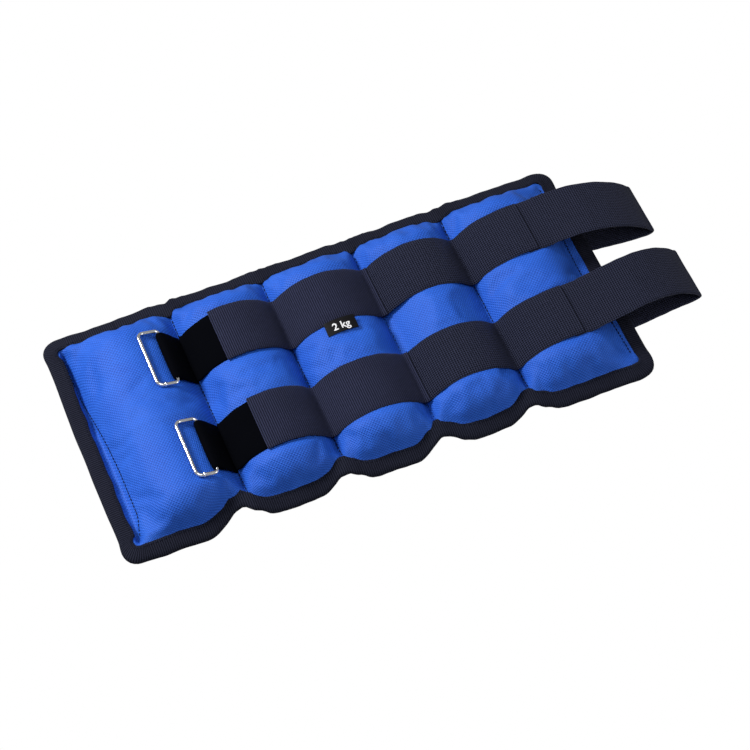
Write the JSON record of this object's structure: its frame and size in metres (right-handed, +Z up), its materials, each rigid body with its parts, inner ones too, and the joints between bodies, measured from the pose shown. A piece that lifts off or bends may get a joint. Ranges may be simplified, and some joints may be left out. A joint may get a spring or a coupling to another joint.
{
  "type": "ankle cuff weight",
  "caption": "Soft wrap-round ankle weight: a row of sand pockets bound round the edge, with two straps, wire rings and folded strap tails.",
  "frame": {"origin": "on the surface that the open cuff lies on, under the middle of the centre pocket", "axes": "+X along the cuff towards the strap tails, +Y across it towards the back edge, +Z up through the cover"},
  "size_m": [0.4358, 0.18, 0.0326],
  "materials": {
    "cover_fabric": "matte",
    "lining_fabric": "matte",
    "sand": "matte",
    "binding_tape": "matte",
    "thread": "matte",
    "label": "satin",
    "ring_wire": "polished",
    "pile_tape": "matte",
    "elastic": "matte",
    "webbing": "matte",
    "hook_tape": "matte"
  },
  "bodies": {
    "pocket_1": {"cover_panel_1": "cover_fabric", "lining_panel_1": "lining_fabric", "sand_bag_1": "sand", "front_binding_1": "binding_tape", "back_binding_1": "binding_tape", "ring_end_binding": "binding_tape", "ring_end_thread": "thread"},
    "pocket_2": {"cover_panel_2": "cover_fabric", "lining_panel_2": "lining_fabric", "sand_bag_2": "sand", "front_binding_2": "binding_tape", "back_binding_2": "binding_tape", "seam_thread_1": "thread", "back_pile_band": "pile_tape", "back_elastic_2": "elastic", "front_pile_band": "pile_tape", "front_elastic_2": "elastic"},
    "pocket_3": {"cover_panel_3": "cover_fabric", "lining_panel_3": "lining_fabric", "sand_bag_3": "sand", "front_binding_3": "binding_tape", "back_binding_3": "binding_tape", "seam_thread_2": "thread", "back_elastic_3": "elastic", "front_elastic_3": "elastic", "weight_label": "label"},
    "pocket_4": {"cover_panel_4": "cover_fabric", "lining_panel_4": "lining_fabric", "sand_bag_4": "sand", "front_binding_4": "binding_tape", "back_binding_4": "binding_tape", "seam_thread_3": "thread", "back_webbing_4": "webbing", "front_webbing_4": "webbing"},
    "pocket_5": {"cover_panel_5": "cover_fabric", "lining_panel_5": "lining_fabric", "sand_bag_5": "sand", "front_binding_5": "binding_tape", "back_binding_5": "binding_tape", "tail_end_binding": "binding_tape", "tail_end_thread": "thread", "seam_thread_4": "thread", "back_webbing_5": "webbing", "back_tail_root": "webbing", "front_webbing_5": "webbing", "front_tail_root": "webbing"},
    "back_tab": {"back_ring_tab": "pile_tape"},
    "back_ring": {"back_wire_ring": "ring_wire"},
    "back_tail": {"back_tail_strap": "webbing", "back_tail_fold": "webbing"},
    "back_tail_tip": {"back_tail_end": "webbing", "back_hook_patch": "hook_tape"},
    "front_tab": {"front_ring_tab": "pile_tape"},
    "front_ring": {"front_wire_ring": "ring_wire"},
    "front_tail": {"front_tail_strap": "webbing", "front_tail_fold": "webbing"},
    "front_tail_tip": {"front_tail_end": "webbing", "front_hook_patch": "hook_tape"}
  },
  "joints": [
    {"name": "seam_2_fold", "type": "hinge", "parent": "pocket_3", "child": "pocket_2", "pos_m": [-0.034, 0, 0.008], "axis": [0, -1, 0], "range_deg": [0, 64]},
    {"name": "seam_1_fold", "type": "hinge", "parent": "pocket_2", "child": "pocket_1", "pos_m": [-0.102, 0, 0.008], "axis": [0, -1, 0], "range_deg": [0, 64]},
    {"name": "seam_3_fold", "type": "hinge", "parent": "pocket_3", "child": "pocket_4", "pos_m": [0.034, 0, 0.008], "axis": [0, 1, 0], "range_deg": [0, 64]},
    {"name": "seam_4_fold", "type": "hinge", "parent": "pocket_4", "child": "pocket_5", "pos_m": [0.102, 0, 0.008], "axis": [0, 1, 0], "range_deg": [0, 64]},
    {"name": "back_tab_lift", "type": "hinge", "parent": "pocket_1", "child": "back_tab", "pos_m": [-0.10225, 0.037, 0.01251], "axis": [0, 1, 0], "range_deg": [0, 55]},
    {"name": "back_ring_swing", "type": "hinge", "parent": "back_tab", "child": "back_ring", "pos_m": [-0.11557, 0.037, 0.02585], "axis": [0, 1, 0], "range_deg": [0, 160]},
    {"name": "back_tail_lift", "type": "hinge", "parent": "pocket_5", "child": "back_tail", "pos_m": [0.17, 0.037, 0.0309], "axis": [0, -1, 0], "range_deg": [0, 110]},
    {"name": "back_tail_unfold", "type": "hinge", "parent": "back_tail", "child": "back_tail_tip", "pos_m": [0.23781, 0.037, 0.0012], "axis": [0, -1, 0], "range_deg": [0, 120]},
    {"name": "front_tab_lift", "type": "hinge", "parent": "pocket_1", "child": "front_tab", "pos_m": [-0.10225, -0.037, 0.01251], "axis": [0, 1, 0], "range_deg": [0, 55]},
    {"name": "front_ring_swing", "type": "hinge", "parent": "front_tab", "child": "front_ring", "pos_m": [-0.11557, -0.037, 0.02585], "axis": [0, 1, 0], "range_deg": [0, 160]},
    {"name": "front_tail_lift", "type": "hinge", "parent": "pocket_5", "child": "front_tail", "pos_m": [0.17, -0.037, 0.0309], "axis": [0, -1, 0], "range_deg": [0, 110]},
    {"name": "front_tail_unfold", "type": "hinge", "parent": "front_tail", "child": "front_tail_tip", "pos_m": [0.23781, -0.037, 0.0012], "axis": [0, -1, 0], "range_deg": [0, 120]}
  ]
}
